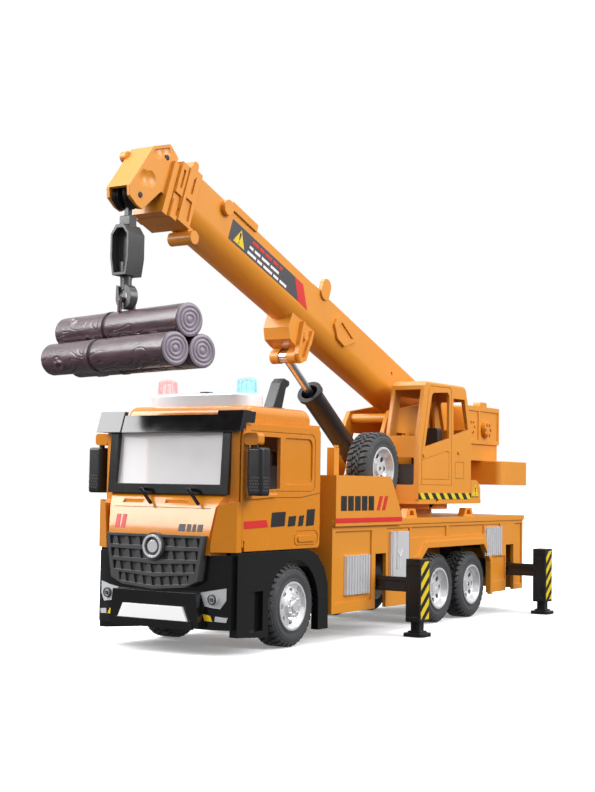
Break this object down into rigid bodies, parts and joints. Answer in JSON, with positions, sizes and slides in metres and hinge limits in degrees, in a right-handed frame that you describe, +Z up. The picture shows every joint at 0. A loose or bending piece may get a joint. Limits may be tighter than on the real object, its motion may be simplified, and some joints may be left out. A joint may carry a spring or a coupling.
{
  "type": "toy crane truck",
  "caption": "Friction-drive toy crane lorry with opening doors, sliding outriggers, slewing turret, luffing telescopic boom, swinging hook and a log load.",
  "frame": {"origin": "on the ground, at the middle of the footprint box; the slewing axis stands at x 0, y 0.0969", "axes": "+Z up, the lorry's cab faces -Y, the lorry's left side is +X"},
  "size_m": [0.165, 0.4737, 0.281],
  "materials": {
    "cab_orange": "glossy moulded ABS, deep amber orange",
    "bed_orange": "satin moulded ABS, lighter orange",
    "boom_orange": "satin moulded ABS, lighter orange",
    "black_gloss": "black moulded ABS, glossy",
    "black_satin": "black moulded plastic, satin",
    "grille_grey": "dark grey moulded plastic",
    "hook_grey": "dark grey moulded plastic, satin",
    "chrome_plate": "vacuum-plated bright chrome on plastic",
    "silver_paint": "silver lacquer on plastic",
    "tyre_rubber": "soft black rubber, matt",
    "clear_screen": "clear polystyrene pane",
    "clear_lamp": "clear lens over a silver reflector",
    "light_bar_white": "frosted clear plastic over coloured lamps",
    "beacon_clear": "coloured clear plastic, one red and one blue",
    "interior_grey": "pale grey moulded plastic",
    "seat_black": "black moulded plastic",
    "steel_rod": "bright steel",
    "steel_screw": "zinc-plated steel",
    "board_green": "printed circuit board",
    "cell_steel": "button cell can",
    "flywheel_metal": "die-cast flywheel",
    "gear_white": "acetal gear on a steel axle",
    "log_brown": "purple-brown moulded plastic with bark relief"
  },
  "bodies": {
    "truck": {"chassis_frame": "black_satin", "bed_body": "bed_orange", "beam_guides": "black_satin", "deck_side_boards": "bed_orange", "cab_shell": "cab_orange", "cab_roof": "cab_orange", "windscreen": "clear_screen", "sun_visor": "black_gloss", "grille": "grille_grey", "bright_trim": "chrome_plate", "cab_base": "black_gloss", "front_lamps": "clear_lamp", "light_bar": "light_bar_white", "beacons": "beacon_clear", "sound_board": "board_green", "button_cells": "cell_steel", "exhaust_stack": "black_satin", "cab_interior": "interior_grey", "spare_tyre": "tyre_rubber", "spare_rim": "silver_paint", "chassis_screws": "steel_screw"},
    "door_left": {"door_left": "cab_orange", "mirror_head_left": "black_satin"},
    "door_right": {"door_right": "cab_orange", "mirror_head_right": "black_satin"},
    "front_wheels": {"front_axle": "steel_rod", "front_tyres": "tyre_rubber", "front_rims": "chrome_plate"},
    "rear_1_wheels": {"rear_1_axle": "gear_white", "rear_1_tyres": "tyre_rubber", "rear_1_rims": "silver_paint"},
    "rear_2_wheels": {"rear_2_axle": "steel_rod", "rear_2_tyres": "tyre_rubber", "rear_2_rims": "silver_paint"},
    "flywheel": {"flywheel": "flywheel_metal"},
    "outrigger_front_left": {"outrigger_arm_front_left": "black_satin"},
    "jack_front_left": {"jack_foot_front_left": "black_satin"},
    "outrigger_front_right": {"outrigger_arm_front_right": "black_satin"},
    "jack_front_right": {"jack_foot_front_right": "black_satin"},
    "outrigger_rear_left": {"outrigger_arm_rear_left": "black_satin"},
    "jack_rear_left": {"jack_foot_rear_left": "black_satin"},
    "outrigger_rear_right": {"outrigger_arm_rear_right": "black_satin"},
    "jack_rear_right": {"jack_foot_rear_right": "black_satin"},
    "turret": {"turret_base": "boom_orange", "operator_cab": "boom_orange", "operator_seat": "seat_black", "counterweight": "boom_orange", "winch_housing": "boom_orange"},
    "winch_drum": {"winch_drum": "boom_orange"},
    "boom_outer": {"boom_outer": "boom_orange"},
    "boom_middle": {"boom_middle": "boom_orange"},
    "boom_inner": {"boom_inner": "boom_orange"},
    "luff_barrel": {"luff_barrel": "black_satin"},
    "luff_rod": {"luff_rod": "steel_rod"},
    "lower_sheaves": {"lower_sheaves": "black_satin"},
    "upper_sheave": {"upper_sheave": "black_satin"},
    "hook_block": {"hook_block": "hook_grey"},
    "hook": {"hook": "hook_grey"},
    "log_bundle": {"log_bundle": "log_brown"},
    "sound_button": {"sound_button": "black_satin"}
  },
  "joints": [
    {"name": "door_left_hinge", "type": "hinge", "parent": "truck", "child": "door_left", "pos_m": [0.0471, -0.161, 0.092], "axis": [0, 0, -1], "range_deg": [0, 65]},
    {"name": "door_right_hinge", "type": "hinge", "parent": "truck", "child": "door_right", "pos_m": [-0.0471, -0.161, 0.092], "axis": [0, 0, 1], "range_deg": [0, 65]},
    {"name": "front_axle_spin", "type": "hinge", "parent": "truck", "child": "front_wheels", "pos_m": [0, -0.1081, 0.0235], "axis": [1, 0, 0], "continuous": true},
    {"name": "rear_1_axle_spin", "type": "hinge", "parent": "truck", "child": "rear_1_wheels", "pos_m": [0, 0.0779, 0.0235], "axis": [1, 0, 0], "continuous": true},
    {"name": "rear_2_axle_spin", "type": "hinge", "parent": "truck", "child": "rear_2_wheels", "pos_m": [0, 0.1299, 0.0235], "axis": [1, 0, 0], "continuous": true},
    {"name": "flywheel_spin", "type": "hinge", "parent": "truck", "child": "flywheel", "pos_m": [0, 0.0779, 0.0372], "axis": [1, 0, 0], "continuous": true},
    {"name": "outrigger_front_left_slide", "type": "slide", "parent": "truck", "child": "outrigger_front_left", "axis": [-1, 0, 0], "range_m": [0, 0.031]},
    {"name": "jack_front_left_slide", "type": "slide", "parent": "outrigger_front_left", "child": "jack_front_left", "axis": [0, 0, 1], "range_m": [0, 0.005]},
    {"name": "outrigger_front_right_slide", "type": "slide", "parent": "truck", "child": "outrigger_front_right", "axis": [1, 0, 0], "range_m": [0, 0.031]},
    {"name": "jack_front_right_slide", "type": "slide", "parent": "outrigger_front_right", "child": "jack_front_right", "axis": [0, 0, 1], "range_m": [0, 0.005]},
    {"name": "outrigger_rear_left_slide", "type": "slide", "parent": "truck", "child": "outrigger_rear_left", "axis": [-1, 0, 0], "range_m": [0, 0.031]},
    {"name": "jack_rear_left_slide", "type": "slide", "parent": "outrigger_rear_left", "child": "jack_rear_left", "axis": [0, 0, 1], "range_m": [0, 0.005]},
    {"name": "outrigger_rear_right_slide", "type": "slide", "parent": "truck", "child": "outrigger_rear_right", "axis": [1, 0, 0], "range_m": [0, 0.031]},
    {"name": "jack_rear_right_slide", "type": "slide", "parent": "outrigger_rear_right", "child": "jack_rear_right", "axis": [0, 0, 1], "range_m": [0, 0.005]},
    {"name": "slew", "type": "hinge", "parent": "truck", "child": "turret", "pos_m": [0, 0.0969, 0.079], "axis": [0, 0, 1], "range_deg": [-110, 120]},
    {"name": "winch_drum_spin", "type": "hinge", "parent": "turret", "child": "winch_drum", "pos_m": [0, 0.1885, 0.137], "axis": [1, 0, 0], "continuous": true},
    {"name": "luff", "type": "hinge", "parent": "turret", "child": "boom_outer", "pos_m": [0, 0.1369, 0.1418], "axis": [-1, 0, 0], "range_deg": [-6, 25]},
    {"name": "boom_middle_slide", "type": "slide", "parent": "boom_outer", "child": "boom_middle", "axis": [0, -0.9385, 0.3453], "range_m": [0, 0.11]},
    {"name": "boom_inner_slide", "type": "slide", "parent": "boom_middle", "child": "boom_inner", "axis": [0, -0.9385, 0.3453], "range_m": [0, 0.11]},
    {"name": "luff_barrel_hinge", "type": "hinge", "parent": "turret", "child": "luff_barrel", "pos_m": [0, 0.0599, 0.098], "axis": [-1, 0, 0], "range_deg": [-7.5, 29]},
    {"name": "luff_rod_hinge", "type": "hinge", "parent": "boom_outer", "child": "luff_rod", "pos_m": [0, -0.04735, 0.17389], "axis": [-1, 0, 0], "range_deg": [-1.2, 4]},
    {"name": "lower_sheaves_spin", "type": "hinge", "parent": "boom_inner", "child": "lower_sheaves", "pos_m": [0, -0.20611, 0.24776], "axis": [1, 0, 0], "continuous": true},
    {"name": "upper_sheave_spin", "type": "hinge", "parent": "boom_inner", "child": "upper_sheave", "pos_m": [0, -0.18291, 0.27289], "axis": [1, 0, 0], "continuous": true},
    {"name": "hook_block_swing", "type": "hinge", "parent": "boom_inner", "child": "hook_block", "pos_m": [0, -0.20611, 0.24776], "axis": [1, 0, 0], "range_deg": [-25, 25]},
    {"name": "hook_swivel", "type": "hinge", "parent": "hook_block", "child": "hook", "pos_m": [0, -0.20611, 0.208], "axis": [0, 0, 1], "continuous": true},
    {"name": "log_swing", "type": "hinge", "parent": "hook", "child": "log_bundle", "pos_m": [0.00039, -0.20621, 0.1909], "axis": [0.2419, 0.9703, 0], "range_deg": [-12, 12]},
    {"name": "sound_button_press", "type": "slide", "parent": "truck", "child": "sound_button", "axis": [0, 0, -1], "range_m": [0, 0.0012], "stiffness_N_per_m": 150, "springref_m": -0.0004}
  ],
  "couplings": [
    {"joint": "flywheel_spin", "follows": "rear_1_axle_spin", "ratio": -2.4},
    {"joint": "luff_barrel_hinge", "follows": "luff", "ratio": 1.14},
    {"joint": "luff_rod_hinge", "follows": "luff", "ratio": 0.15}
  ]
}
